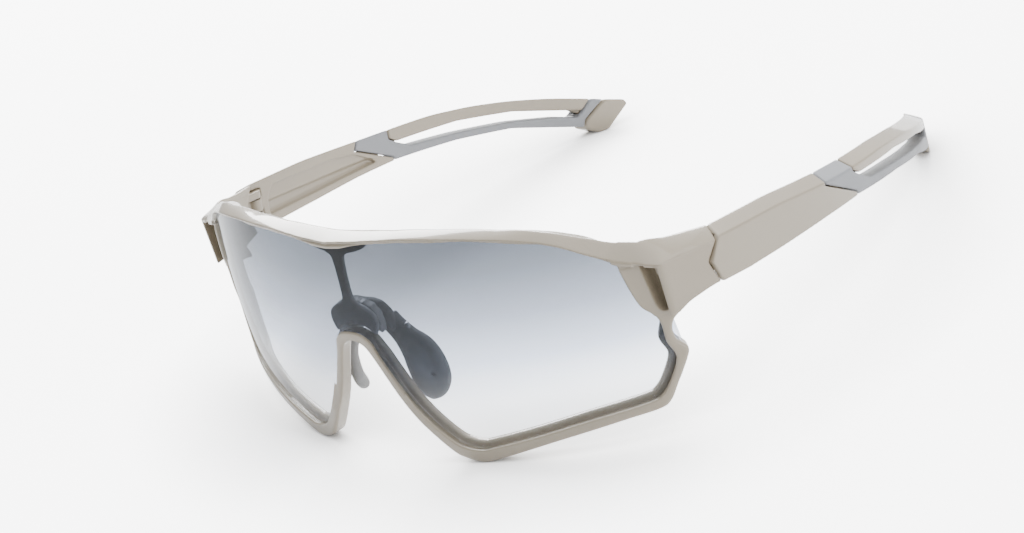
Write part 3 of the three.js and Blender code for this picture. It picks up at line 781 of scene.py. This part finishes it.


def floor():
    f = Finish("studio_floor")
    tint = f.between(f.noise(3, 2), (0.9, 0.9, 0.9), (0.92, 0.92, 0.92))
    shader = f.add("ShaderNodeBsdfPrincipled", Base_Color=tint, Roughness=0.9, Specular_IOR_Level=0.1)
    seen = f.add("ShaderNodeLightPath").outputs["Is Camera Ray"]
    # Ambient occlusion dims the camera-only glow close to the object: a painted contact shadow on the
    # floor.
    painted_shadow_occlusion = f.add("ShaderNodeAmbientOcclusion", Distance=PAINTED_SHADOW_REACH)
    painted_shadow_occlusion.samples = 8
    glow_outside_painted_shadow = f.math("POWER", painted_shadow_occlusion.outputs["AO"], 3.0)
    strength = f.math("MULTIPLY", f.math("MULTIPLY", seen, FLOOR_GLOW), glow_outside_painted_shadow)
    glow = f.add("ShaderNodeEmission", Strength=strength)
    both_ways = f.add("ShaderNodeAddShader")
    f.tree.links.new(shader.outputs["BSDF"], both_ways.inputs[0])
    f.tree.links.new(glow.outputs[0], both_ways.inputs[1])
    f.tree.links.new(both_ways.outputs[0], f.output.inputs["Surface"])
    corners = [(-FLOOR_HALF, -FLOOR_HALF, 0), (FLOOR_HALF, -FLOOR_HALF, 0),
               (FLOOR_HALF, FLOOR_HALF, 0), (-FLOOR_HALF, FLOOR_HALF, 0)]
    mesh = bpy.data.meshes.new("floor")
    mesh.from_pydata(corners, [], [(0, 1, 2, 3)])
    mesh.materials.append(f.material)
    sheet = bpy.data.objects.new("floor", mesh)
    bpy.context.scene.collection.objects.link(sheet)


def softbox(name, direction, distance, size, power):
    """Area lamp that looks at the object from a direction."""
    lamp = bpy.data.lights.new(name, "AREA")
    lamp.shape, lamp.size, lamp.size_y = "RECTANGLE", size[0], size[1]
    lamp.energy = power
    made = bpy.data.objects.new(name, lamp)
    made.location = Vector(direction).normalized() * distance
    made.rotation_euler = Vector(direction).to_track_quat("Z", "Y").to_euler()
    bpy.context.scene.collection.objects.link(made)


SKY_BRIGHTEST = (0.35, 0.62, 0.7)      # the camera's side of the room is the dark one
SKY_DARK, SKY_BRIGHT = 0.22, 1.25

floor()
softbox("overhead", (0.2, 0.1, 1.0), 0.9, (1.1, 1.1), 6.0)
softbox("back_left", (-0.5, 0.6, 0.55), 0.8, (0.62, 0.4), 15.0)
softbox("right", (0.95, 0.1, 0.35), 1.0, (0.7, 0.5), 4.0)

world = bpy.data.worlds.new("studio")
world.use_nodes = True
sky = world.node_tree
direction = sky.nodes.new("ShaderNodeTexCoord").outputs["Generated"]
facing = sky.nodes.new("ShaderNodeVectorMath")
facing.operation = "DOT_PRODUCT"
facing.inputs[1].default_value = SKY_BRIGHTEST
spread = sky.nodes.new("ShaderNodeMapRange")
spread.interpolation_type = "SMOOTHSTEP"
for key, value in (("From Min", -0.9), ("From Max", 0.9), ("To Min", SKY_DARK),
                   ("To Max", SKY_BRIGHT)):
    spread.inputs[key].default_value = value
sky.links.new(direction, facing.inputs[0])
sky.links.new(facing.outputs["Value"], spread.inputs["Value"])
sky.links.new(spread.outputs["Result"], sky.nodes["Background"].inputs["Strength"])
sky.nodes["Background"].inputs["Color"].default_value = (0.96, 0.98, 1.0, 1)
bpy.context.scene.world = world

CAMERA_RIGHT = Vector((0.75503, 0.59364, -0.27844))
CAMERA_UP = Vector((-0.07981, 0.50469, 0.8596))
CAMERA_BACK = Vector((0.65082, -0.6268, 0.42843))
lens = bpy.data.cameras.new("camera")
lens.lens, lens.sensor_width = 94.92, 36
camera = bpy.data.objects.new("camera", lens)
placing = Matrix((CAMERA_RIGHT, CAMERA_UP, CAMERA_BACK)).transposed().to_4x4()
placing.translation = Vector((0.40998, -0.41908, 0.288))
camera.matrix_world = placing
bpy.context.scene.collection.objects.link(camera)
bpy.context.scene.camera = camera

bpy.context.view_layer.update()
